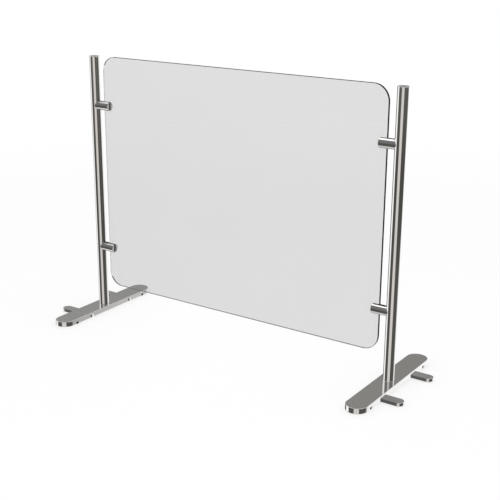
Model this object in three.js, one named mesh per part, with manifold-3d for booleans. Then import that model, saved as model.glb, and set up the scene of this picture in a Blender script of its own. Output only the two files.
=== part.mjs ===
// Free-standing counter-top sneeze guard. A clear panel with rounded corners hangs between two
// round posts in four two-jaw clamps. Each post stands on a flat round-ended base plate that runs
// front to back, and two shorter bars reach out from under each plate on its outer side.
//
// Millimetres. X runs along the panel, Y from the front to the back, Z up. The origin is on the
// counter, midway between the posts.

import * as THREE from 'three';
import { mergeVertices } from 'three/addons/utils/BufferGeometryUtils.js';
import Module from 'manifold-3d';

const wasm = await Module();
wasm.setup();

// ---------------------------------------------------------------- driving dimensions

// Panel
const PANEL_WIDTH = 800;
const PANEL_HEIGHT = 603.5;
const PANEL_THICKNESS = 6.35;
const PANEL_CORNER_RADIUS = 38;
const PANEL_ABOVE_COUNTER = 75.5;

// Posts
const POST_DIAMETER = 25.4;
const POST_WALL = 2;
const POST_TO_PANEL_GAP = 17.3;
const PANEL_TOP_ABOVE_POST = 1.2;
const CAP_THICKNESS = 1.5;
const CAP_SPIGOT_LENGTH = 10;
const FOOT_PLUG_LENGTH = 25;

// Base plates
const PLATE_LENGTH = 347.5;
const PLATE_WIDTH = 50.8;
const PLATE_THICKNESS = 12.7;
const PLATE_ABOVE_COUNTER = 1;

// Outrigger bars, let into the underside of the plates
const BAR_WIDTH = 25.4;
const BAR_THICKNESS = 7.9;
const BAR_REACH = 50;
const BAR_FROM_POST = 75.5;
const BAR_POCKET_BREAKOUT = 1.7;
const BAR_PAD_DIAMETER = 12;
const BAR_PAD_INSET = 1.7;

// Rubber foot strips, let into the underside of the plates
const FOOT_WIDTH = 20;
const FOOT_INSET = 4.7;
const FOOT_FROM_POST = 130.5;
const FOOT_POCKET_BREAKOUT = 1.3;

// Panel clamps
const CLAMP_DIAMETER = 23.5;
const CLAMP_GRIP = 17.7;
const LOWER_CLAMP_FROM_PANEL_BOTTOM = 102;
const UPPER_CLAMP_FROM_PANEL_TOP = 125;
const GASKET_WALL = 1.3;
const GASKET_RECESS = 0.25;

// Screws: shank and head diameters, head height, hexagon across its corners and its depth
const CLAMP_SCREW = { shank: 5, head: 9.5, headHeight: 2.6, hex: 3.4, hexDepth: 1.5, cone: false };
const BAR_SCREW = { shank: 5, head: 9.2, headHeight: 2.8, hex: 3.4, hexDepth: 1.8, cone: true };
const POST_BOLT = { shank: 8, head: 16, headHeight: 4.4, hex: 5.7, hexDepth: 3, cone: true };
const CLAMP_SCREW_BITE = 4.2;
const BAR_SCREW_BITE = 3;
const BAR_SCREW_FROM_CENTRE = 12;
const POST_BOLT_BITE = 18;
const HEAD_SUNK = 0.2;

// Fits
const GAP = 0.3;            // between faces that touch
const CUT_PAST = 2;         // how far a cutting solid runs past the face that it opens

// ---------------------------------------------------------------- derived places

const postRadius = POST_DIAMETER / 2;
const clampRadius = CLAMP_DIAMETER / 2;
const panelEdge = postRadius + POST_TO_PANEL_GAP;          // from a post's axis, towards the panel
const postX = PANEL_WIDTH / 2 + panelEdge;
const plateTop = PLATE_ABOVE_COUNTER + PLATE_THICKNESS;
const panelTop = PANEL_ABOVE_COUNTER + PANEL_HEIGHT;
const postTop = panelTop - PANEL_TOP_ABOVE_POST;
const tubeTop = postTop - CAP_THICKNESS - GAP;
const tubeBottom = plateTop + GAP;
const boreRadius = postRadius - POST_WALL;
const barTop = PLATE_ABOVE_COUNTER + BAR_THICKNESS;
const jawFace = PANEL_THICKNESS / 2 + GASKET_WALL + 2 * GAP;
const clampScrewFromPost = (postRadius + panelEdge) / 2;
const clampHeights = {
  lower: PANEL_ABOVE_COUNTER + LOWER_CLAMP_FROM_PANEL_BOTTOM,
  upper: panelTop - UPPER_CLAMP_FROM_PANEL_TOP,
};

const FINE = 40;
const COARSE = 16;

// ---------------------------------------------------------------- materials

function steel(color) {
  return new THREE.MeshStandardMaterial({ color, roughness: 0.12, metalness: 1 });
}

const MATERIALS = {
  steel: () => steel(0xc9c8c4),
  screw: () => steel(0xa9a8a4),
  rubber: () => new THREE.MeshStandardMaterial({ color: 0x1b1b1b, roughness: 0.8, metalness: 0 }),
  panel: () => new THREE.MeshStandardMaterial({
    color: 0xdfe3e3, roughness: 0.05, metalness: 0, transparent: true, opacity: 0.35,
  }),
};

// ---------------------------------------------------------------- solid helpers

function toSolid(geometry) {
  const bare = geometry.clone();
  bare.deleteAttribute('normal');
  bare.deleteAttribute('uv');
  const merged = mergeVertices(bare, 1e-5);
  return new wasm.Manifold(new wasm.Mesh({
    numProp: 3,
    vertProperties: Float32Array.from(merged.attributes.position.array),
    triVerts: Uint32Array.from(merged.index.array),
  }));
}

function toGeometry(solid) {
  const mesh = solid.getMesh();
  const geometry = new THREE.BufferGeometry();
  geometry.setAttribute('position', new THREE.BufferAttribute(mesh.vertProperties, 3));
  geometry.setIndex(new THREE.BufferAttribute(mesh.triVerts, 1));
  geometry.computeVertexNormals();
  return geometry;
}

function cut(geometry, tools) {
  let solid = toSolid(geometry);
  for (const tool of tools) {
    solid = solid.subtract(toSolid(tool));
  }
  return toGeometry(solid);
}

// A round rod between two heights on the Z axis, moved to (x, y).
function uprightRod(radius, low, high, x = 0, y = 0, sides = COARSE) {
  const rod = new THREE.CylinderGeometry(radius, radius, high - low, sides);
  return rod.rotateX(Math.PI / 2).translate(x, y, (low + high) / 2);
}

// A box given by its lowest and highest corners.
function block(low, high) {
  const size = high.map((value, axis) => value - low[axis]);
  const centre = high.map((value, axis) => (value + low[axis]) / 2);
  return new THREE.BoxGeometry(...size).translate(...centre);
}

// A flat bar with half-round ends along X, between two heights. start and end are its tips.
function roundEndedBar(start, end, width, low, high, y = 0) {
  const radius = width / 2;
  const outline = new THREE.Shape();
  outline.absarc(end - radius, y, radius, -Math.PI / 2, Math.PI / 2, false);
  outline.absarc(start + radius, y, radius, Math.PI / 2, Math.PI * 1.5, false);
  const bar = new THREE.ExtrudeGeometry(outline, {
    depth: high - low, bevelEnabled: false, curveSegments: COARSE / 2,
  });
  return bar.translate(0, 0, low);
}

// A socket-head screw on the Z axis: its head's flat face at z = 0, its shank up along +Z.
function screw({ shank, head, headHeight, hex, hexDepth, cone }, length) {
  const neck = cone ? [[shank / 2, headHeight]] : [[head / 2, headHeight], [shank / 2, headHeight]];
  const profile = [[0, 0], [head / 2, 0], ...neck, [shank / 2, length], [0, length]];
  const body = new THREE.LatheGeometry(profile.map(([r, z]) => new THREE.Vector2(r, z)), COARSE);
  const socket = new THREE.CylinderGeometry(hex / 2, hex / 2, hexDepth + CUT_PAST, 6);
  socket.rotateX(Math.PI / 2).translate(0, 0, (hexDepth - CUT_PAST) / 2);
  return cut(body.rotateX(Math.PI / 2), [socket]);
}

// The hole that a screw of this kind sits in, GAP clear all round, open below z = 0.
function screwHole({ shank, head, headHeight, cone }, length) {
  const headRadius = head / 2 + GAP;
  const shankRadius = shank / 2 + GAP;
  const shoulder = headHeight + GAP;
  const neck = cone ? [[shankRadius, shoulder]] : [[headRadius, shoulder], [shankRadius, shoulder]];
  const profile = [
    [0, -CUT_PAST], [headRadius, -CUT_PAST], [headRadius, GAP], ...neck,
    [shankRadius, length + GAP], [0, length + GAP],
  ];
  const hole = new THREE.LatheGeometry(profile.map(([r, z]) => new THREE.Vector2(r, z)), COARSE);
  return hole.rotateX(Math.PI / 2);
}

function addMesh(parent, name, geometry, material) {
  const mesh = new THREE.Mesh(geometry, MATERIALS[material]());
  mesh.name = name;
  parent.add(mesh);
  return mesh;
}

// ---------------------------------------------------------------- panel

function panelGeometry() {
  const right = PANEL_WIDTH / 2 - PANEL_CORNER_RADIUS;
  const top = PANEL_HEIGHT - PANEL_CORNER_RADIUS;
  const outline = new THREE.Shape();
  const corners = [
    [right, PANEL_CORNER_RADIUS, -Math.PI / 2],
    [right, top, 0],
    [-right, top, Math.PI / 2],
    [-right, PANEL_CORNER_RADIUS, Math.PI],
  ];
  for (const [x, z, angle] of corners) {
    outline.absarc(x, z, PANEL_CORNER_RADIUS, angle, angle + Math.PI / 2, false);
  }
  const sheet = new THREE.ExtrudeGeometry(outline, {
    depth: PANEL_THICKNESS, bevelEnabled: false, curveSegments: COARSE / 2,
  });
  return sheet.rotateX(Math.PI / 2).translate(0, PANEL_THICKNESS / 2, 0);
}

// ---------------------------------------------------------------- base, in its post's frame

// Everything here is built with +X towards the outer side of the stand.
const barYs = { front: -BAR_FROM_POST, back: BAR_FROM_POST };
const footYs = { front: -FOOT_FROM_POST, back: FOOT_FROM_POST };
const barTip = PLATE_WIDTH / 2 + BAR_REACH;
const barScrewXs = { inner: -BAR_SCREW_FROM_CENTRE, outer: BAR_SCREW_FROM_CENTRE };
const barScrewLength = BAR_THICKNESS - HEAD_SUNK + BAR_SCREW_BITE;
const postBoltLength = PLATE_THICKNESS - HEAD_SUNK + POST_BOLT_BITE;
const headFace = PLATE_ABOVE_COUNTER + HEAD_SUNK;

function basePlateGeometry() {
  const below = PLATE_ABOVE_COUNTER - CUT_PAST;
  const plate = roundEndedBar(
    -PLATE_LENGTH / 2, PLATE_LENGTH / 2, PLATE_WIDTH, PLATE_ABOVE_COUNTER, plateTop,
  ).rotateZ(Math.PI / 2);
  const tools = [screwHole(POST_BOLT, postBoltLength).translate(0, 0, headFace)];
  for (const y of Object.values(barYs)) {
    tools.push(roundEndedBar(
      -PLATE_WIDTH / 2 - BAR_POCKET_BREAKOUT, barTip + BAR_WIDTH, BAR_WIDTH + 2 * GAP,
      below, barTop + GAP, y,
    ));
    for (const x of Object.values(barScrewXs)) {
      tools.push(screwHole(BAR_SCREW, barScrewLength).translate(x, y, headFace));
    }
  }
  const footTip = PLATE_WIDTH / 2 + FOOT_POCKET_BREAKOUT;
  for (const y of Object.values(footYs)) {
    tools.push(roundEndedBar(
      -footTip, footTip, FOOT_WIDTH + 2 * GAP, below, PLATE_ABOVE_COUNTER + FOOT_INSET + GAP, y,
    ));
  }
  return cut(plate, tools);
}

function outriggerGeometry() {
  const bar = roundEndedBar(-PLATE_WIDTH / 2 + GAP, barTip, BAR_WIDTH, PLATE_ABOVE_COUNTER, barTop);
  const padRecess = uprightRod(
    BAR_PAD_DIAMETER / 2 + GAP, PLATE_ABOVE_COUNTER - CUT_PAST,
    PLATE_ABOVE_COUNTER + BAR_PAD_INSET + GAP, barTip - BAR_WIDTH / 2,
  );
  const holes = Object.values(barScrewXs).map(
    (x) => screwHole(BAR_SCREW, barScrewLength).translate(x, 0, headFace),
  );
  return cut(bar, [padRecess, ...holes]);
}

function addBase(stand, side, outer) {
  const base = new THREE.Group();
  base.rotation.z = outer > 0 ? 0 : Math.PI;
  stand.add(base);
  addMesh(base, `${side}_base_plate`, basePlateGeometry(), 'steel');

  for (const [place, y] of Object.entries(barYs)) {
    const name = `${side}_${place}`;
    const localY = y * outer;
    addMesh(base, `${name}_outrigger`, outriggerGeometry(), 'steel').position.y = localY;
    for (const [end, x] of Object.entries(barScrewXs)) {
      const fastener = addMesh(
        base, `${name}_outrigger_${end}_screw`, screw(BAR_SCREW, barScrewLength), 'screw',
      );
      fastener.position.set(x, localY, headFace);
    }
    const pad = uprightRod(BAR_PAD_DIAMETER / 2, 0, PLATE_ABOVE_COUNTER + BAR_PAD_INSET);
    addMesh(base, `${name}_outrigger_pad`, pad, 'rubber')
      .position.set(barTip - BAR_WIDTH / 2, localY, 0);
    const foot = roundEndedBar(
      -PLATE_WIDTH / 2 + GAP, PLATE_WIDTH / 2 - GAP, FOOT_WIDTH, 0,
      PLATE_ABOVE_COUNTER + FOOT_INSET,
    );
    addMesh(base, `${name}_foot_strip`, foot, 'rubber').position.y = footYs[place] * outer;
  }
}

// ---------------------------------------------------------------- post, in its own frame

function addPost(stand, side) {
  const tube = cut(
    uprightRod(postRadius, tubeBottom, tubeTop, 0, 0, FINE),
    [uprightRod(boreRadius, tubeBottom - CUT_PAST, tubeTop + CUT_PAST, 0, 0, FINE)],
  );
  addMesh(stand, `${side}_post_tube`, tube, 'steel');

  const spigotRadius = boreRadius - GAP;
  const profile = [
    [0, -CAP_SPIGOT_LENGTH], [spigotRadius, -CAP_SPIGOT_LENGTH], [spigotRadius, 0],
    [postRadius, 0], [postRadius, CAP_THICKNESS], [0, CAP_THICKNESS],
  ];
  const cap = new THREE.LatheGeometry(profile.map(([r, z]) => new THREE.Vector2(r, z)), FINE);
  addMesh(stand, `${side}_post_cap`, cap.rotateX(Math.PI / 2), 'steel')
    .position.z = postTop - CAP_THICKNESS;

  const plug = cut(
    uprightRod(boreRadius - GAP, tubeBottom, tubeBottom + FOOT_PLUG_LENGTH),
    [uprightRod(POST_BOLT.shank / 2 + GAP, tubeBottom - CUT_PAST, headFace + postBoltLength + GAP)],
  );
  addMesh(stand, `${side}_post_foot_plug`, plug, 'screw');
  addMesh(stand, `${side}_post_bolt`, screw(POST_BOLT, postBoltLength), 'screw')
    .position.z = headFace;
}

// ---------------------------------------------------------------- clamps, in their own frame

// The clamp's axis lies along X at z = 0, with its post's axis at x = 0. inner is +1 or -1: the
// way along X from this post to the panel.
function clampRod(radius, inner, end) {
  const rod = new THREE.CylinderGeometry(radius, radius, end, FINE);
  return rod.rotateZ(Math.PI / 2).translate((inner * end) / 2, 0, 0);
}

function clampSlab(inner, lowY, highY) {
  const length = panelEdge + CLAMP_GRIP + CUT_PAST;
  const xs = [-CUT_PAST * inner, length * inner].sort((a, b) => a - b);
  const reach = clampRadius + CUT_PAST;
  return block([xs[0], lowY, -reach], [xs[1], highY, reach]);
}

function clampScrewAxis(geometry, inner, y) {
  return geometry.rotateX(Math.PI / 2).translate(inner * clampScrewFromPost, y, 0);
}

const postCope = () => uprightRod(
  postRadius + GAP, -clampRadius - CUT_PAST, clampRadius + CUT_PAST, 0, 0, FINE,
);
const screwHeadFace = Math.sqrt(clampRadius ** 2 - (CLAMP_SCREW.head / 2) ** 2) - HEAD_SUNK;
const clampScrewLength = screwHeadFace + jawFace + CLAMP_SCREW_BITE;

function jawGeometry(inner, lowY, highY) {
  const half = toSolid(clampRod(clampRadius, inner, panelEdge + CLAMP_GRIP))
    .intersect(toSolid(clampSlab(inner, lowY, highY)));
  const hole = clampScrewAxis(screwHole(CLAMP_SCREW, clampScrewLength), inner, screwHeadFace);
  return cut(toGeometry(half), [postCope(), hole]);
}

function gasketGeometry(inner) {
  const wall = jawFace - GAP;
  const body = toSolid(clampRod(clampRadius - GASKET_RECESS, inner, panelEdge + CLAMP_GRIP - GAP))
    .intersect(toSolid(clampSlab(inner, -wall, wall)));
  const slot = PANEL_THICKNESS / 2 + GAP;
  const past = panelEdge + CLAMP_GRIP + CUT_PAST;
  const xs = [(panelEdge - GAP) * inner, past * inner].sort((a, b) => a - b);
  const reach = clampRadius + CUT_PAST;
  const panelSlot = block([xs[0], -slot, -reach], [xs[1], slot, reach]);
  const hole = clampScrewAxis(screwHole(CLAMP_SCREW, clampScrewLength), inner, screwHeadFace);
  return cut(toGeometry(body), [postCope(), panelSlot, hole]);
}

function addClamp(stand, side, height, inner) {
  const clamp = new THREE.Group();
  clamp.position.z = clampHeights[height];
  stand.add(clamp);
  const name = `${side}_${height}`;
  const past = clampRadius + CUT_PAST;
  addMesh(clamp, `${name}_front_jaw`, jawGeometry(inner, -past, -jawFace), 'steel');
  addMesh(clamp, `${name}_rear_jaw`, jawGeometry(inner, jawFace, past), 'steel');
  addMesh(clamp, `${name}_gasket`, gasketGeometry(inner), 'rubber');
  const fastener = addMesh(clamp, `${name}_clamp_screw`, screw(CLAMP_SCREW, clampScrewLength), 'screw');
  fastener.rotation.x = Math.PI / 2;
  fastener.position.set(inner * clampScrewFromPost, screwHeadFace, 0);
}

// ---------------------------------------------------------------- assembly

const guard = new THREE.Group();
addMesh(guard, 'panel', panelGeometry(), 'panel').position.z = PANEL_ABOVE_COUNTER;

for (const [side, outer] of [['left', -1], ['right', 1]]) {
  const stand = new THREE.Group();
  stand.position.x = outer * postX;
  guard.add(stand);
  addBase(stand, side, outer);
  addPost(stand, side);
  for (const height of Object.keys(clampHeights)) {
    addClamp(stand, side, height, -outer);
  }
}

export default guard;
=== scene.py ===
"""Looks for the counter-top sneeze guard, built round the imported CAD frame.

Metres, in the CAD frame: X runs along the panel, Y from the front to the back, Z up.
Positions and outer sizes come from the CAD nodes' boxes. The sizes named below are the ones that
a box doesn't show: walls, fits, edge rounding and what lies inside a piece.
"""

import math

import bmesh
import bpy
from mathutils import Matrix, Vector


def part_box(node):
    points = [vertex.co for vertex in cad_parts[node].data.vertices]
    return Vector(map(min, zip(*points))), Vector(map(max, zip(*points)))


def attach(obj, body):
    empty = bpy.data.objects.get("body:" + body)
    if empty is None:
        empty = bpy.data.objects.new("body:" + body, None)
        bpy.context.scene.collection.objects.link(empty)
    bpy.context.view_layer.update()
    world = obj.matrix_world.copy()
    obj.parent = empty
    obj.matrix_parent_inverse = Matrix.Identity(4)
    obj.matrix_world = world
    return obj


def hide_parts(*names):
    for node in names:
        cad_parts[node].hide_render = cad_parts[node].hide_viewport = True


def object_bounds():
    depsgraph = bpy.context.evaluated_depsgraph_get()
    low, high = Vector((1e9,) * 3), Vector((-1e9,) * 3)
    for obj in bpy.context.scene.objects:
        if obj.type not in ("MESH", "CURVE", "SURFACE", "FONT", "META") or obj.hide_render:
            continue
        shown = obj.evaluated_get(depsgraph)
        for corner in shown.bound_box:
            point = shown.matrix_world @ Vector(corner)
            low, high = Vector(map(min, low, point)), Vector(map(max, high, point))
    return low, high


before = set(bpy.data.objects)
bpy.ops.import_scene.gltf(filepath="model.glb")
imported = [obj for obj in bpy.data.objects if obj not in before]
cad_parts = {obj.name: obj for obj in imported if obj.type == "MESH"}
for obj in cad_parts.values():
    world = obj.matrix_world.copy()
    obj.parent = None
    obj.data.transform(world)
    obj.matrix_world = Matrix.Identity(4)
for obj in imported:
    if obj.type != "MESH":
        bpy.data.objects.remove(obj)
cad_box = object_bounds()

MM = 0.001

# ---------------------------------------------------------------- sizes

GAP = 0.3 * MM                # clearance between faces that touch
CUT_PAST = 2 * MM             # how far a cutting tool runs past the face that it opens

PANEL_CORNER_RADIUS = 38 * MM
PANEL_ARRIS = 0.9 * MM

POST_WALL = 2 * MM
POST_END_CHAMFER = 0.35 * MM
CAP_THICKNESS = 1.5 * MM
CAP_RIM_RADIUS = 0.9 * MM
CAP_RIM_STEPS = 6

PLATE_ARRIS = 0.7 * MM
BAR_POCKET_BREAKOUT = 1.7 * MM    # how far a pocket's tip runs past the plate's inner side
BAR_POCKET_RUN = 4                # where it ends, off the outer side, in half widths of the plate
BAR_ARRIS = 0.6 * MM
BAR_PAD_INSET = 1.7 * MM
FOOT_POCKET_BREAKOUT = 1.3 * MM   # and a foot's slot past both sides
RUBBER_ARRIS = 0.5 * MM

JAW_ARRIS = 0.5 * MM
GASKET_ARRIS = 0.25 * MM

# Screws, written in mm: shank and head diameters, head height, hexagon across its corners and its
# depth
CLAMP_SCREW = dict(shank=5, head=9.5, height=2.6, hexagon=3.4, depth=1.5, cone=False)
BAR_SCREW = dict(shank=5, head=9.2, height=2.8, hexagon=3.4, depth=1.8, cone=True)
POST_BOLT = dict(shank=8, head=16, height=4.4, hexagon=5.7, depth=3, cone=True)
for kind in (CLAMP_SCREW, BAR_SCREW, POST_BOLT):
    for key in ("shank", "head", "height", "hexagon", "depth"):
        kind[key] *= MM
SCREW_ARRIS = 0.25 * MM

ROUND = 96                    # sides of a post or a clamp
ROUND_END = 48                # steps of a half-round end, or of a corner of the panel
SMALL_ROUND = 40              # sides of a screw, a pad or a hole
SMOOTH_BELOW = math.radians(32)
WELD = 1e-7                   # points nearer than this are one
FLAT_WEIGHT = 80              # how much a large face outweighs its rounded edges in shading

SIDES = {"left": -1, "right": 1}          # and the way to the stand's outer side
PLACES = ("front", "back")
HEIGHTS = ("lower", "upper")

# ---------------------------------------------------------------- node materials

NOISE_RANGE = (0.3, 0.7)      # where noise spends most of its values
EVERY_WAY = (1, 1, 1)
ALONG_X = (0.02, 1, 1)
ALONG_Y = (1, 0.02, 1)
ALONG_Z = (1, 1, 0.02)

# Noise scales, in waves to a metre
STEEL_CLOUDS = 14
STEEL_HAIRLINES = 900
RUBBER_CLOUDS = 60
RUBBER_GRAIN = 1400
SHEET_HAZE = 5

# Each pair holds the two values that the noise runs between. Gloss is given as roughness.
STEEL_TONES = ((0.905, 0.895, 0.885), (0.935, 0.925, 0.915))
STEEL_GLOSS = (0.03, 0.06)
SATIN_TONES = ((0.365, 0.36, 0.355), (0.385, 0.38, 0.375))
SATIN_GLOSS = (0.45, 0.55)
STEEL_BUMP = 0.05             # strength and depth of the hairlines
STEEL_BUMP_DEPTH = 0.02 * MM
SCREW_TONES = ((0.50, 0.49, 0.48), (0.58, 0.57, 0.56))
SCREW_GLOSS = (0.16, 0.24)
SCREW_BUMP = 0.12
RUBBER_TONES = ((0.010, 0.010, 0.010), (0.017, 0.017, 0.017))
RUBBER_GLOSS = (0.66, 0.80)
RUBBER_SHEEN = 0.2
RUBBER_BUMP = 0.25
RUBBER_BUMP_DEPTH = 0.06 * MM
SHEET_TONES = ((0.795, 0.794, 0.794), (0.803, 0.802, 0.802))
SHEET_GLOSS = (0.0, 0.006)
SHEET_CLEARNESS = 0.93        # the rest is a faint milky haze
SHEET_IOR = 1.5
# Painted shade on the panel's edges, where a clear edge looks dark: nearly black along the top and
# bottom, black on the other edges but the left one.
PAINTED_EDGE_SHADE_TONES = ((0.006, 0.006, 0.006), (0.009, 0.009, 0.009))
PAINTED_EDGE_SHADE_GLOSS = (0.02, 0.05)
PAINTED_BLACK_SHADE_TONES = ((0.001, 0.001, 0.001), (0.002, 0.002, 0.002))
PAINTED_BLACK_SHADE_GLOSS = (0.05, 0.1)
EDGE_IOR = 1.12               # low, so that an edge mirrors next to nothing


def new_material(name):
    """A material with an empty tree, its Principled shader and its object-space coordinates."""
    material = bpy.data.materials.new(name)
    material.use_nodes = True
    tree = material.node_tree
    tree.nodes.clear()
    out = tree.nodes.new("ShaderNodeOutputMaterial")
    shader = tree.nodes.new("ShaderNodeBsdfPrincipled")
    tree.links.new(shader.outputs["BSDF"], out.inputs["Surface"])
    place = tree.nodes.new("ShaderNodeTexCoord")
    return material, tree, shader, place.outputs["Object"]


def noise(tree, where, scale, detail=3, stretch=EVERY_WAY):
    """Noise in object space, drawn out along the axis that stretch makes small."""
    mapping = tree.nodes.new("ShaderNodeMapping")
    mapping.inputs["Scale"].default_value = stretch
    tree.links.new(where, mapping.inputs["Vector"])
    texture = tree.nodes.new("ShaderNodeTexNoise")
    texture.inputs["Scale"].default_value = scale
    texture.inputs["Detail"].default_value = detail
    tree.links.new(mapping.outputs["Vector"], texture.inputs["Vector"])
    return texture.outputs["Fac"]


def between(tree, factor, low, high):
    """A value that runs from low to high as noise runs over its range."""
    node = tree.nodes.new("ShaderNodeMapRange")
    node.inputs["From Min"].default_value = NOISE_RANGE[0]
    node.inputs["From Max"].default_value = NOISE_RANGE[1]
    node.inputs["To Min"].default_value = low
    node.inputs["To Max"].default_value = high
    tree.links.new(factor, node.inputs["Value"])
    return node.outputs["Result"]


def tone(tree, factor, dark, light):
    """A colour that runs from dark to light as noise runs over its range."""
    ramp = tree.nodes.new("ShaderNodeValToRGB")
    for element, position, colour in zip(ramp.color_ramp.elements, NOISE_RANGE, (dark, light)):
        element.position = position
        element.color = (*colour, 1)
    tree.links.new(factor, ramp.inputs["Fac"])
    return ramp.outputs["Color"]


def bump(tree, shader, height, strength, distance):
    """Roughens the surface by a height."""
    node = tree.nodes.new("ShaderNodeBump")
    node.inputs["Strength"].default_value = strength
    node.inputs["Distance"].default_value = distance
    tree.links.new(height, node.inputs["Height"])
    tree.links.new(node.outputs["Normal"], shader.inputs["Normal"])


def steel_material(name, tones, gloss, grain, bump_strength=STEEL_BUMP):
    """Stainless steel: faint cloudy wear in its gloss, and hairlines along grain."""
    material, tree, shader, where = new_material(name)
    shader.inputs["Metallic"].default_value = 1.0
    clouds = noise(tree, where, STEEL_CLOUDS, detail=4)
    hairlines = noise(tree, where, STEEL_HAIRLINES, detail=2, stretch=grain)
    tree.links.new(tone(tree, clouds, *tones), shader.inputs["Base Color"])
    tree.links.new(between(tree, clouds, *gloss), shader.inputs["Roughness"])
    bump(tree, shader, hairlines, bump_strength, STEEL_BUMP_DEPTH)
    return material


def rubber_material():
    """Black moulded rubber with a fine grain."""
    material, tree, shader, where = new_material("moulded_rubber")
    grain = noise(tree, where, RUBBER_GRAIN, detail=2)
    clouds = noise(tree, where, RUBBER_CLOUDS)
    tree.links.new(tone(tree, clouds, *RUBBER_TONES), shader.inputs["Base Color"])
    tree.links.new(between(tree, clouds, *RUBBER_GLOSS), shader.inputs["Roughness"])
    shader.inputs["Specular IOR Level"].default_value = RUBBER_SHEEN
    bump(tree, shader, grain, RUBBER_BUMP, RUBBER_BUMP_DEPTH)
    return material


def sheet_material(name, tones, gloss, ior, clearness):
    """The panel's material. A face lets through the square root of its tone."""
    material, tree, shader, where = new_material(name)
    shader.inputs["Transmission Weight"].default_value = clearness
    shader.inputs["IOR"].default_value = ior
    haze = noise(tree, where, SHEET_HAZE)
    tree.links.new(tone(tree, haze, *tones), shader.inputs["Base Color"])
    tree.links.new(between(tree, haze, *gloss), shader.inputs["Roughness"])
    return material


MATERIALS = {
    "post": steel_material("polished_steel_upright", STEEL_TONES, STEEL_GLOSS, ALONG_Z),
    "plate": steel_material("polished_steel_plate", STEEL_TONES, STEEL_GLOSS, ALONG_Y),
    "clamp": steel_material("polished_steel_clamp", STEEL_TONES, STEEL_GLOSS, ALONG_X),
    "clamp_end": steel_material("satin_steel_end", STEEL_TONES, SATIN_GLOSS, EVERY_WAY),
    "bar": steel_material("polished_steel_bar", STEEL_TONES, STEEL_GLOSS, ALONG_X),
    "bar_flat": steel_material("satin_steel_flat", SATIN_TONES, SATIN_GLOSS, ALONG_X),
    "screw": steel_material("screw_steel", SCREW_TONES, SCREW_GLOSS, EVERY_WAY, SCREW_BUMP),
    "rubber": rubber_material(),
    "clear": sheet_material("clear_sheet", SHEET_TONES, SHEET_GLOSS, SHEET_IOR, SHEET_CLEARNESS),
    # The panel's edges, with painted shade: nearly black along the top and bottom, black on the other
    # edges but the left one.
    "top_bottom_painted_shade": sheet_material("sheet_edge_painted_shade", PAINTED_EDGE_SHADE_TONES, PAINTED_EDGE_SHADE_GLOSS, EDGE_IOR, 1.0),
    "side_painted_black_shade": sheet_material("sheet_edge_painted_black_shade", PAINTED_BLACK_SHADE_TONES, PAINTED_BLACK_SHADE_GLOSS, EDGE_IOR, 0.0),
}

# ---------------------------------------------------------------- mesh helpers


def arc(x, y, radius, start, end, steps):
    """Points along an arc from start to end degrees, both included."""
    points = []
    for i in range(steps + 1):
        angle = math.radians(start + (end - start) * i / steps)
        points.append((x + radius * math.cos(angle), y + radius * math.sin(angle)))
    return points


def bar_outline(start, end, centre, width):
    """A bar with half-round ends along X, from tip to tip."""
    radius = width / 2
    return (
        arc(end - radius, centre, radius, -90, 90, ROUND_END)
        + arc(start + radius, centre, radius, 90, 270, ROUND_END)
    )


def disc(radius, low, high):
    """The profile of a plain round piece between two heights."""
    return [(0, low), (radius, low), (radius, high), (0, high)]


def as_object(name, bm):
    """The object that holds a bmesh, its faces turned outwards."""
    bmesh.ops.remove_doubles(bm, verts=bm.verts, dist=WELD)
    bmesh.ops.recalc_face_normals(bm, faces=bm.faces)
    mesh = bpy.data.meshes.new(name)
    bm.to_mesh(mesh)
    bm.free()
    piece = bpy.data.objects.new(name, mesh)
    bpy.context.scene.collection.objects.link(piece)
    return piece


def prism(name, outline, low, high):
    """The solid between two heights on one outline."""
    bm = bmesh.new()
    bottom = [bm.verts.new((x, y, low)) for x, y in outline]
    top = [bm.verts.new((x, y, high)) for x, y in outline]
    bm.faces.new(bottom)
    bm.faces.new(top)
    for i, vertex in enumerate(bottom):
        j = (i + 1) % len(outline)
        bm.faces.new((vertex, bottom[j], top[j], top[i]))
    return as_object(name, bm)


def lathe(name, profile, sides, ring=False):
    """A turned solid on the Z axis from (radius, height) pairs. A ring's last pair joins its first."""
    bm = bmesh.new()
    turns = [2 * math.pi * i / sides for i in range(sides)]
    loops = []
    for radius, height in profile:
        if radius == 0:
            loops.append([bm.verts.new((0, 0, height))] * sides)
            continue
        loops.append([bm.verts.new((radius * math.cos(t), radius * math.sin(t), height)) for t in turns])
    pairs = list(zip(loops, loops[1:]))
    if ring:
        pairs.append((loops[-1], loops[0]))
    for lower, upper in pairs:
        for i in range(sides):
            j = (i + 1) % sides
            corners = list(dict.fromkeys((lower[i], lower[j], upper[j], upper[i])))
            if len(corners) > 2:
                bm.faces.new(corners)
    return as_object(name, bm)


def moved(piece, matrix):
    """The piece with its mesh moved by a matrix."""
    piece.data.transform(matrix)
    piece.data.update()
    return piece


def at(x, y, z):
    return Matrix.Translation((x, y, z))


def with_modifier(piece, kind, **settings):
    """The piece with one modifier applied."""
    modifier = piece.modifiers.new(kind.lower(), kind)
    for key, value in settings.items():
        setattr(modifier, key, value)
    depsgraph = bpy.context.evaluated_depsgraph_get()
    result = bpy.data.meshes.new_from_object(piece.evaluated_get(depsgraph))
    piece.modifiers.clear()
    piece.data = result
    return piece


def softened(piece, width, segments=3):
    """The piece with its sharp edges rounded."""
    return with_modifier(
        piece, "BEVEL", width=width, segments=segments, limit_method="ANGLE",
        angle_limit=SMOOTH_BELOW,
    )


def carved(piece, tools):
    """The piece less each tool. The tools are used up."""
    for tool in tools:
        with_modifier(piece, "BOOLEAN", operation="DIFFERENCE", solver="EXACT", object=tool)
        bpy.data.objects.remove(tool)
    return piece


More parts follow.
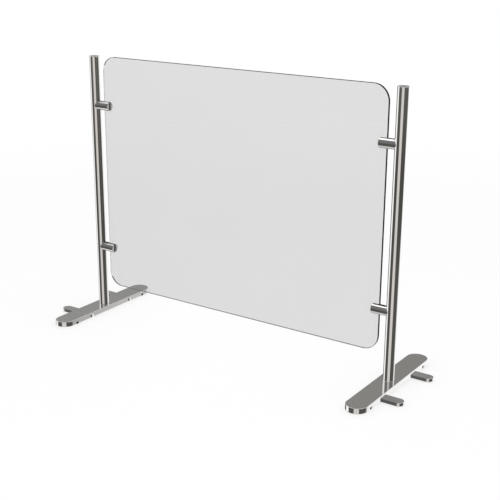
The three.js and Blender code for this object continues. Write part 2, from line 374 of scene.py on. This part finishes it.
def shaded(piece):
    """Smooth faces with crisp edges, and flat faces that stay flat beside their rounded edges."""
    piece.data.shade_smooth()
    piece.data.set_sharp_from_angle(angle=SMOOTH_BELOW)
    return with_modifier(piece, "WEIGHTED_NORMAL", keep_sharp=True, weight=FLAT_WEIGHT)


def placed(piece, finish, body, *nodes):
    """Shades a finished piece, gives it its material and its body, and hides the CAD nodes that it
    stands for.
    """
    shaded(piece)
    piece.data.materials.clear()
    piece.data.materials.append(MATERIALS[finish])
    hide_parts(*nodes)
    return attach(piece, body)


def unreflected(piece):
    """The piece, left out of what the polished steel mirrors."""
    piece.visible_glossy = False
    return piece


def second_finish(piece, finish, chosen):
    """Gives a placed piece another finish on the faces whose normal is chosen."""
    piece.data.materials.append(MATERIALS[finish])
    for face in piece.data.polygons:
        face.material_index = int(chosen(face.normal))


def middle(node):
    """The middle of a CAD node's box."""
    low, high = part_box(node)
    return (low + high) / 2


def filled_box(name, node):
    """A bar with half-round ends along X that fills a CAD node's box."""
    low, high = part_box(node)
    outline = bar_outline(low.x, high.x, middle(node).y, high.y - low.y)
    return prism(name, outline, low.z, high.z)


# ---------------------------------------------------------------- screws


def socket_screw(name, kind, length):
    """A socket-head screw on Z: its head's face at 0, its shank up along +Z."""
    head = kind["head"] / 2
    shank = kind["shank"] / 2
    chamfer = SCREW_ARRIS
    profile = [(0, 0), (head - chamfer, 0), (head, chamfer)]
    if not kind["cone"]:
        profile.append((head, kind["height"]))
    profile.append((shank, kind["height"]))
    profile += [(shank, length - chamfer * 2), (shank - chamfer * 2, length), (0, length)]
    body = lathe(name, profile, SMALL_ROUND)
    hexagon = arc(0, 0, kind["hexagon"] / 2, 0, 300, 5)
    socket = prism(name + "_socket", hexagon, -CUT_PAST, kind["depth"])
    return carved(body, [socket])


def screw_hole(kind, length):
    """The hole that a screw sits in, a gap clear of it, open below 0."""
    head = kind["head"] / 2 + GAP
    shank = kind["shank"] / 2 + GAP
    shoulder = kind["height"] + GAP
    profile = [(0, -CUT_PAST), (head, -CUT_PAST), (head, GAP)]
    if not kind["cone"]:
        profile.append((head, shoulder))
    profile += [(shank, shoulder), (shank, length + GAP), (0, length + GAP)]
    return lathe("hole", profile, SMALL_ROUND)


def upright_screw(name, node, kind, body):
    """A screw that stands head down under a plate."""
    low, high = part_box(node)
    screw = socket_screw(name, kind, high.z - low.z)
    moved(screw, at(middle(node).x, middle(node).y, low.z))
    return unreflected(placed(screw, "screw", body, node))


def upright_hole(node, kind):
    """The hole for a screw that stands head down under a plate."""
    low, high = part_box(node)
    return moved(screw_hole(kind, high.z - low.z), at(middle(node).x, middle(node).y, low.z))


# ---------------------------------------------------------------- panel

# What tells the sheet's faces apart, by their normal: across (X), through (Y) and upright (Z)
EDGE_THROUGH = 0.1            # an edge points less than this through the sheet
FLAT_THROUGH = 0.99           # a flat points at least this far through it
LEFT_ACROSS = -0.9            # the straight left edge points at least this far to the left
ARRIS_ACROSS = 0.3            # arrises get the black painted shade where they point this far to the right
ARRIS_SLOPE = 0.5             # or up or down by this much of what they point across
EDGE_SLOPE = 2.5              # the top and bottom edges point this many times as far up as across


def sheet_slot(normal):
    """The sheet's material on a face: 0 clear, 1 painted shade on the top and bottom edges, 2 black
    painted shade on the other edges.
    """
    across, through, upright = normal
    upright = abs(upright)
    edge = abs(through) < EDGE_THROUGH
    turned = across > ARRIS_ACROSS or upright > ARRIS_SLOPE * abs(across)
    arris = abs(through) < FLAT_THROUGH and turned
    if across <= LEFT_ACROSS or not (edge or arris):
        return 0
    return 1 if upright > EDGE_SLOPE * abs(across) else 2


def build_panel():
    """The sheet, clear through its faces and its left edge, with painted shade along the rest of its
    edges.
    """
    low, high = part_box("panel")
    radius = PANEL_CORNER_RADIUS
    outline = []
    corners = ((high.x, low.z, -90), (high.x, high.z, 0), (low.x, high.z, 90), (low.x, low.z, 180))
    for x, z, start in corners:
        x -= math.copysign(radius, x)
        z += radius if z == low.z else -radius
        outline += arc(x, z, radius, start, start + 90, ROUND_END)
    sheet = prism("panel_sheet", outline, low.y, high.y)
    moved(sheet, Matrix.Rotation(math.radians(90), 4, "X"))
    softened(sheet, PANEL_ARRIS, segments=2)
    placed(sheet, "clear", "panel", "panel")
    # Painted shade on the edges: nearly black along the top and bottom, black on the right edge and the
    # corners.
    sheet.data.materials.append(MATERIALS["top_bottom_painted_shade"])
    sheet.data.materials.append(MATERIALS["side_painted_black_shade"])
    for face in sheet.data.polygons:
        face.material_index = sheet_slot(face.normal)
    sheet.visible_shadow = False
    sheet.visible_diffuse = False
    sheet.visible_glossy = False


# ---------------------------------------------------------------- stands

BAR_TIP_FACING = 0.1          # a bar's faces that point less than this along X are satin


def bar_screws(side, place):
    """The CAD nodes of a bar's two screws, by the end of the bar that they are at."""
    return {end: f"{side}_{place}_outrigger_{end}_screw" for end in ("inner", "outer")}


def underside_pocket(node, start, end, below):
    """The tool that cuts a node's pocket from below, from one end along X to the other."""
    low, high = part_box(node)
    outline = bar_outline(min(start, end), max(start, end), middle(node).y, high.y - low.y + 2 * GAP)
    return prism("pocket", outline, below, high.z + GAP)


def build_plate(side, outer):
    """The base plate, with its bolt's hole and its pockets for two bars and two foot strips."""
    node = f"{side}_base_plate"
    low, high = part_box(node)
    half_width = (high.x - low.x) / 2
    centre = middle(node).x
    quarter = Matrix.Rotation(math.radians(90), 4, "Z")
    outline = bar_outline(low.y, high.y, 0, 2 * half_width)
    plate = moved(prism(f"{side}_plate", outline, low.z, high.z), at(centre, 0, 0) @ quarter)
    softened(plate, PLATE_ARRIS)

    below = low.z - CUT_PAST
    bar_tip = centre - outer * (half_width + BAR_POCKET_BREAKOUT)
    bar_past = centre + outer * half_width * BAR_POCKET_RUN
    foot_reach = half_width + FOOT_POCKET_BREAKOUT
    tools = [upright_hole(f"{side}_post_bolt", POST_BOLT)]
    for place in PLACES:
        bar_node = f"{side}_{place}_outrigger"
        foot_node = f"{side}_{place}_foot_strip"
        tools.append(underside_pocket(bar_node, bar_tip, bar_past, below))
        tools += [upright_hole(screw, BAR_SCREW) for screw in bar_screws(side, place).values()]
        tools.append(underside_pocket(foot_node, centre - foot_reach, centre + foot_reach, below))
    unreflected(placed(carved(plate, tools), "plate", "stands", node))


def build_bar(side, place):
    """An outrigger bar, polished at its tips and satin between, its two screws and its pad."""
    node = f"{side}_{place}_outrigger"
    name = f"{side}_{place}_bar"
    screws = bar_screws(side, place)
    pad_low, pad_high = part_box(node + "_pad")
    pad = middle(node + "_pad")
    pad_radius = (pad_high.x - pad_low.x) / 2

    bar = softened(filled_box(name, node), BAR_ARRIS)
    recess = lathe("recess", disc(pad_radius + GAP, -CUT_PAST, BAR_PAD_INSET + GAP), SMALL_ROUND)
    moved(recess, at(pad.x, pad.y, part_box(node)[0].z))
    carved(bar, [recess] + [upright_hole(screw, BAR_SCREW) for screw in screws.values()])
    unreflected(placed(bar, "bar", "stands", node))
    second_finish(bar, "bar_flat", lambda normal: abs(normal.x) < BAR_TIP_FACING)

    for end, screw in screws.items():
        upright_screw(f"{name}_{end}_screw", screw, BAR_SCREW, "stands")
    button = lathe(name + "_pad", disc(pad_radius, pad_low.z, pad_high.z), SMALL_ROUND)
    moved(softened(button, RUBBER_ARRIS), at(pad.x, pad.y, 0))
    unreflected(placed(button, "rubber", "stands", node + "_pad"))


def build_foot(side, place):
    """A rubber foot strip, let into the underside of the plate."""
    node = f"{side}_{place}_foot_strip"
    foot = softened(filled_box(f"{side}_{place}_foot", node), RUBBER_ARRIS)
    unreflected(placed(foot, "rubber", "stands", node))


def build_post(side):
    """The tube, its cap and its bolt. The plug inside its foot keeps the CAD model's shape."""
    node = f"{side}_post_tube"
    low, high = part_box(node)
    radius = (high.y - low.y) / 2
    bore = radius - POST_WALL
    axis = middle(node)
    chamfer = POST_END_CHAMFER
    profile = [(bore, low.z), (radius, low.z)]
    profile += [(radius, high.z - chamfer), (radius - chamfer, high.z), (bore, high.z)]
    tube = moved(lathe(f"{side}_tube", profile, ROUND, ring=True), at(axis.x, axis.y, 0))
    placed(tube, "post", "stands", node)

    node = f"{side}_post_cap"
    low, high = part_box(node)
    rim = high.z - CAP_THICKNESS
    profile = [(0, low.z), (bore - GAP, low.z), (bore - GAP, rim), (radius, rim)]
    turn = CAP_RIM_RADIUS
    profile += arc(radius - turn, high.z - turn, turn, 0, 90, CAP_RIM_STEPS)
    profile.append((0, high.z))
    cap = moved(lathe(f"{side}_cap", profile, ROUND), at(axis.x, axis.y, 0))
    placed(cap, "post", "stands", node)

    upright_screw(f"{side}_bolt", f"{side}_post_bolt", POST_BOLT, "stands")
    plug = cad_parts[f"{side}_post_foot_plug"]
    plug.data.materials.clear()
    plug.data.materials.append(MATERIALS["screw"])


# ---------------------------------------------------------------- clamps

# Turns a prism on Z into one along X, its outline's X and Y becoming Y and Z.
LENGTHWAYS = Matrix(((0, 0, 1, 0), (1, 0, 0, 0), (0, 1, 0, 0), (0, 0, 0, 1)))
JAW_END_FACING = 0.9          # a jaw's end faces point at least this far along X
JAW_END_LEAN = 0.1            # and less than this forward or back


def is_jaw_end(normal):
    """Whether a face with this normal is on a jaw's open end."""
    return abs(normal.x) > JAW_END_FACING and abs(normal.y) < JAW_END_LEAN


def build_clamp(side, height, inner):
    """Two jaws, the gasket between them and the screw through them, all along X off a post."""
    name = f"{side}_{height}"
    rear_low, rear_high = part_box(name + "_rear_jaw")
    gasket_low, gasket_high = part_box(name + "_gasket")
    panel_low, panel_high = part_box("panel")
    post = middle(f"{side}_post_tube")
    tube_low, tube_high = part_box(f"{side}_post_tube")
    post_radius = (tube_high.y - tube_low.y) / 2

    level = middle(name + "_rear_jaw").z
    radius = rear_high.y
    jaw_face = rear_low.y
    jaw_end = (rear_high.x if inner > 0 else rear_low.x) - post.x
    gasket_radius = (gasket_high.z - gasket_low.z) / 2
    gasket_side = gasket_high.y
    gasket_end = (gasket_high.x if inner > 0 else gasket_low.x) - post.x
    panel_edge = (panel_low.x if inner > 0 else panel_high.x) - post.x
    here = at(post.x, post.y, level)

    screw_low, screw_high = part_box(name + "_clamp_screw")
    screw_x = middle(name + "_clamp_screw").x
    screw_length = screw_high.y - screw_low.y
    screw_place = at(screw_x, screw_high.y, level) @ Matrix.Rotation(math.radians(90), 4, "X")

    def tools():
        """What a jaw and the gasket are cut with: the post and the screw, each a gap larger."""
        reach = radius + CUT_PAST
        cope = disc(post_radius + GAP, -reach, reach)
        return [
            moved(lathe("cope", cope, ROUND), here),
            moved(screw_hole(CLAMP_SCREW, screw_length), screw_place),
        ]

    spread = math.degrees(math.acos(jaw_face / radius))
    for jaw, facing, body in (("rear", 0, f"{name}_jaw"), ("front", 180, "stands")):
        outline = arc(0, 0, radius, facing - spread, facing + spread, ROUND // 2)
        piece = prism(f"{name}_{jaw}_jaw_half", outline, min(0, jaw_end), max(0, jaw_end))
        softened(moved(piece, here @ LENGTHWAYS), JAW_ARRIS)
        placed(carved(piece, tools()), "clamp", body, f"{name}_{jaw}_jaw")
        second_finish(piece, "clamp_end", is_jaw_end)

    lean = math.degrees(math.acos(gasket_side / gasket_radius))
    outline = arc(0, 0, gasket_radius, lean, 180 - lean, ROUND // 3)
    outline += arc(0, 0, gasket_radius, 180 + lean, 360 - lean, ROUND // 3)
    gasket = prism(f"{name}_gasket_block", outline, min(0, gasket_end), max(0, gasket_end))
    softened(moved(gasket, here @ LENGTHWAYS), GASKET_ARRIS, segments=2)
    half_slot = panel_high.y + GAP
    slot_start = panel_edge - inner * GAP
    slot_past = gasket_end + inner * CUT_PAST
    corners = [(-half_slot, -radius), (half_slot, -radius), (half_slot, radius), (-half_slot, radius)]
    slot = prism("panel_slot", corners, min(slot_start, slot_past), max(slot_start, slot_past))
    moved(slot, here @ LENGTHWAYS)
    placed(carved(gasket, [slot] + tools()), "rubber", "stands", name + "_gasket")

    screw = moved(socket_screw(f"{name}_socket_screw", CLAMP_SCREW, screw_length), screw_place)
    placed(screw, "screw", f"{name}_screw", name + "_clamp_screw")


build_panel()
for side, outer in SIDES.items():
    build_plate(side, outer)
    for place in PLACES:
        build_bar(side, place)
        build_foot(side, place)
    build_post(side)
    for height in HEIGHTS:
        build_clamp(side, height, -outer)

# ---------------------------------------------------------------- stage

CAMERA_AZIMUTH = math.radians(34.188)
CAMERA_ELEVATION = math.radians(17.688)
CAMERA_ROLL = math.radians(0.341)
CAMERA_DISTANCE = 2.42222
CAMERA_AIM_RIGHT = 0.04017       # how far right of and above the object's middle the camera aims
CAMERA_AIM_UP = -0.09206
CAMERA_LENS = 72.774
CAMERA_CLIP = (0.05, 60)
SENSOR_WIDTH = 36.0


def add_camera():
    """The camera at the photo's angle."""
    camera = bpy.data.objects.new("camera", bpy.data.cameras.new("camera"))
    bpy.context.scene.collection.objects.link(camera)
    camera.data.sensor_width = SENSOR_WIDTH
    camera.data.lens = CAMERA_LENS
    camera.data.clip_start, camera.data.clip_end = CAMERA_CLIP
    az, el = CAMERA_AZIMUTH, CAMERA_ELEVATION
    back = Vector((math.sin(az) * math.cos(el), -math.cos(az) * math.cos(el), math.sin(el)))
    right = Vector((math.cos(az), math.sin(az), 0))
    up = back.cross(right)
    centre = (cad_box[0] + cad_box[1]) / 2
    place = centre + back * CAMERA_DISTANCE + right * CAMERA_AIM_RIGHT + up * CAMERA_AIM_UP
    turn = Matrix((right, up, back)).transposed() @ Matrix.Rotation(CAMERA_ROLL, 3, "Z")
    camera.matrix_world = Matrix.Translation(place) @ turn.to_4x4()
    bpy.context.scene.camera = camera


FLOOR_RADIUS = 14.0
FLOOR_SIDES = 96
FLOOR_TONES = ((0.950, 0.950, 0.950), (0.958, 0.958, 0.958))
FLOOR_ROUGHNESS = 0.9
FLOOR_CLOUDS = 3
BACKDROP = (1.0, 1.0, 1.0)
FLOOR_GLOW = 0.6                 # how much of the floor's white doesn't come from the light
FLOOR_FADE = (0.9, 3.0)          # how far out the rest gives way to the backdrop's white


def add_floor():
    """A pale matt floor that fades into the backdrop, so that no horizon shows."""
    bm = bmesh.new()
    bmesh.ops.create_circle(bm, cap_ends=True, radius=FLOOR_RADIUS, segments=FLOOR_SIDES)
    floor = as_object("floor", bm)
    floor.visible_glossy = False
    material, tree, shader, where = new_material("pale_floor")
    shader.inputs["Roughness"].default_value = FLOOR_ROUGHNESS
    shader.inputs["Specular IOR Level"].default_value = 0.0
    clouds = noise(tree, where, FLOOR_CLOUDS)
    tree.links.new(tone(tree, clouds, *FLOOR_TONES), shader.inputs["Base Color"])
    glow = tree.nodes.new("ShaderNodeEmission")
    glow.inputs["Color"].default_value = (*BACKDROP, 1)
    distance = tree.nodes.new("ShaderNodeVectorMath")
    distance.operation = "LENGTH"
    tree.links.new(where, distance.inputs[0])
    fade = tree.nodes.new("ShaderNodeMapRange")
    fade.interpolation_type = "SMOOTHSTEP"
    fade.inputs["From Min"].default_value = FLOOR_FADE[0]
    fade.inputs["From Max"].default_value = FLOOR_FADE[1]
    fade.inputs["To Min"].default_value = FLOOR_GLOW
    tree.links.new(distance.outputs["Value"], fade.inputs["Value"])
    mix = tree.nodes.new("ShaderNodeMixShader")
    tree.links.new(fade.outputs["Result"], mix.inputs["Fac"])
    tree.links.new(shader.outputs["BSDF"], mix.inputs[1])
    tree.links.new(glow.outputs["Emission"], mix.inputs[2])
    out = next(n for n in tree.nodes if n.type == "OUTPUT_MATERIAL")
    tree.links.new(mix.outputs["Shader"], out.inputs["Surface"])
    floor.data.materials.append(material)


# What the polished steel sees round the horizon, by compass direction in degrees: 0 is the front,
# 90 the right and 180 the back. White walls and a warm one stand between dark flags. Low down a
# dull and a pale one join them on the right. Above the horizon they differ less from each other.
WHITE = (1.02, 1.02, 1.02)
WARM = (0.66, 0.635, 0.615)
DARK = (0.071, 0.069, 0.062)
FLAG = (0.050, 0.049, 0.044)
BANDS_MIDDLE = (
    (-180, WHITE), (-156, WHITE), (-152, FLAG), (-103, FLAG), (-97, WHITE), (-62, WHITE),
    (-56, DARK), (-3, DARK), (3, WARM), (45, WARM), (51, DARK), (140, DARK), (158, WHITE),
    (180, WHITE),
)
UPPER_DARK = (0.104, 0.101, 0.092)
BANDS_UPPER = tuple(
    (degrees, UPPER_DARK if colour is DARK else colour) for degrees, colour in BANDS_MIDDLE
)
LOW_DARK = (0.085, 0.082, 0.076)
DULL = (0.34, 0.34, 0.335)
PALE = (0.60, 0.60, 0.59)
BANDS_LOW = (
    (-180, WHITE), (-156, WHITE), (-152, FLAG), (-103, FLAG), (-97, WHITE), (-64, WHITE),
    (-58, LOW_DARK), (-5, LOW_DARK), (1, WARM), (46, WARM), (52, LOW_DARK), (124, LOW_DARK),
    (133, DULL), (140, PALE), (144, PALE), (156, WHITE), (180, WHITE),
)
DIM_GREY = (0.236, 0.234, 0.224)
DIM_PALE = (0.30, 0.30, 0.295)
DIM_WHITE = (0.86, 0.86, 0.86)
DIM_DARK = (0.155, 0.155, 0.155)
DIM_WARM = (0.50, 0.48, 0.465)
BANDS_ABOVE = (
    (-180, DIM_WHITE), (-172, DIM_GREY), (-158, DIM_GREY), (-132, DIM_PALE), (-112, DIM_WHITE),
    (-62, DIM_WHITE), (-50, DIM_DARK), (0, DIM_DARK), (8, DIM_WARM), (43, DIM_WARM), (51, DIM_DARK),
    (125, DIM_DARK), (142, DIM_WHITE), (180, DIM_WHITE),
)
# What it sees above those, by the angle up from the back and over to the front: a grey wall, a
# white softbox overhead and another grey wall.
BACK_WALL = (0.20, 0.20, 0.20)
SOFTBOX = (1.3, 1.3, 1.3)
FRONT_WALL = (0.185, 0.185, 0.185)
ARCH = ((0, BACK_WALL), (38, BACK_WALL), (42, SOFTBOX), (106, SOFTBOX), (111, FRONT_WALL))
SKYLIGHT = (0.42, 0.42, 0.42)    # straight up
GROUND = (0.57, 0.57, 0.57)      # straight down
AMBIENT = (0.93, 0.93, 0.93)     # what lights the floor and the rubber

# Where each of those gives way to the next, by how far up a direction points, from -1 to 1
LOW_TO_MIDDLE = (-0.35, -0.27)
MIDDLE_TO_UPPER = (-0.24, -0.14)
UPPER_TO_ABOVE = (-0.02, 0.02)
ABOVE_TO_ARCH = (0.45, 0.50)
ARCH_TO_SKYLIGHT = (0.93, 0.97)
LOW_TO_GROUND = (-0.74, -0.80)


def add_world():
    """Plain soft light all round. Reflections see a banded studio, and the camera sees white."""
    world = bpy.data.worlds.new("studio")
    bpy.context.scene.world = world
    world.use_nodes = True
    world.cycles.sampling_method = "NONE"
    tree = world.node_tree
    tree.nodes.clear()

    def node(kind, **inputs):
        """A node with some of its inputs set, their names' spaces written as underscores."""
        made = tree.nodes.new(kind)
        for key, value in inputs.items():
            made.inputs[key.replace("_", " ")].default_value = value
        return made

    def math_node(operation, a, b=None):
        """The result of a sum. Each of its terms is a number or another node's output."""
        made = tree.nodes.new("ShaderNodeMath")
        made.operation = operation
        for socket, value in zip(made.inputs, (a, b)):
            if isinstance(value, bpy.types.NodeSocket):
                tree.links.new(value, socket)
            elif value is not None:
                socket.default_value = value
        return made.outputs["Value"]

    def blend(factor, low, high):
        """The mix of two colours. Each is a fixed one or another node's output."""
        made = tree.nodes.new("ShaderNodeMix")
        made.data_type = "RGBA"
        tree.links.new(factor, made.inputs["Factor"])
        ends = [s for s in made.inputs if s.type == "RGBA"]
        for socket, value in zip(ends, (low, high)):
            if isinstance(value, bpy.types.NodeSocket):
                tree.links.new(value, socket)
            else:
                socket.default_value = (*value, 1)
        return next(s for s in made.outputs if s.type == "RGBA")

    def step(value, low, high):
        """A smooth run from 0 to 1 as value goes from low to high."""
        made = node("ShaderNodeMapRange", From_Min=low, From_Max=high)
        made.interpolation_type = "SMOOTHSTEP"
        tree.links.new(value, made.inputs["Value"])
        return made.outputs["Result"]

    direction = tree.nodes.new("ShaderNodeSeparateXYZ")
    tree.links.new(node("ShaderNodeTexCoord").outputs["Generated"], direction.inputs["Vector"])
    x, y, z = direction.outputs
    compass = math_node("ARCTAN2", x, math_node("MULTIPLY", y, -1.0))
    arch = math_node("ARCTAN2", z, y)

    def bands(table, angle=compass):
        """A table's colours by an angle. The ramp's 0 to 1 is -180 to 180 degrees."""
        ramp = tree.nodes.new("ShaderNodeValToRGB")
        elements = ramp.color_ramp.elements
        for i, (degrees, colour) in enumerate(table):
            place = degrees / 360 + 0.5
            element = elements[i] if i < 2 else elements.new(place)    # a new ramp has two
            element.position = place
            element.color = (*colour, 1)
        turn = math_node("ADD", math_node("DIVIDE", angle, 2 * math.pi), 0.5)
        tree.links.new(turn, ramp.inputs["Fac"])
        return ramp.outputs["Color"]

    studio = blend(step(z, *LOW_TO_MIDDLE), bands(BANDS_LOW), bands(BANDS_MIDDLE))
    studio = blend(step(z, *MIDDLE_TO_UPPER), studio, bands(BANDS_UPPER))
    studio = blend(step(z, *UPPER_TO_ABOVE), studio, bands(BANDS_ABOVE))
    studio = blend(step(z, *ABOVE_TO_ARCH), studio, bands(ARCH, arch))
    studio = blend(step(z, *ARCH_TO_SKYLIGHT), studio, SKYLIGHT)
    studio = blend(step(z, *LOW_TO_GROUND), studio, GROUND)

    # A ray through the sheet sees the backdrop, unless it has been mirrored by steel before that.
    path = tree.nodes.new("ShaderNodeLightPath")
    mirrored = math_node("GREATER_THAN", path.outputs["Glossy Depth"], 0.5)
    through = path.outputs["Is Transmission Ray"]
    mirrored_through = math_node("MULTIPLY", through, mirrored)
    straight_through = math_node("SUBTRACT", through, mirrored_through)
    seen = math_node("MAXIMUM", path.outputs["Is Camera Ray"], straight_through)
    in_mirror = math_node("MAXIMUM", path.outputs["Is Glossy Ray"], mirrored_through)
    light = blend(in_mirror, AMBIENT, studio)
    light = blend(seen, light, BACKDROP)
    background = node("ShaderNodeBackground")
    tree.links.new(light, background.inputs["Color"])
    out = tree.nodes.new("ShaderNodeOutputWorld")
    tree.links.new(background.outputs["Background"], out.inputs["Surface"])


LAMP_PLACE = Vector((0.6, -0.8, 2.6))
LAMP_SIZE = 3.0
LAMP_ENERGY = 12.0


def add_overhead_light():
    """One large soft light above the object, for the floor and the rubber."""
    lamp = bpy.data.objects.new("overhead", bpy.data.lights.new("overhead", "AREA"))
    bpy.context.scene.collection.objects.link(lamp)
    lamp.data.shape = "RECTANGLE"
    lamp.data.size = LAMP_SIZE
    lamp.data.size_y = LAMP_SIZE
    lamp.data.energy = LAMP_ENERGY
    lamp.location = LAMP_PLACE
    lamp.rotation_euler = LAMP_PLACE.to_track_quat("Z", "Y").to_euler()
    lamp.visible_glossy = False
    lamp.visible_transmission = False
    lamp.visible_camera = False


add_camera()
add_floor()
add_world()
add_overhead_light()
bpy.context.scene.view_settings.view_transform = "Standard"
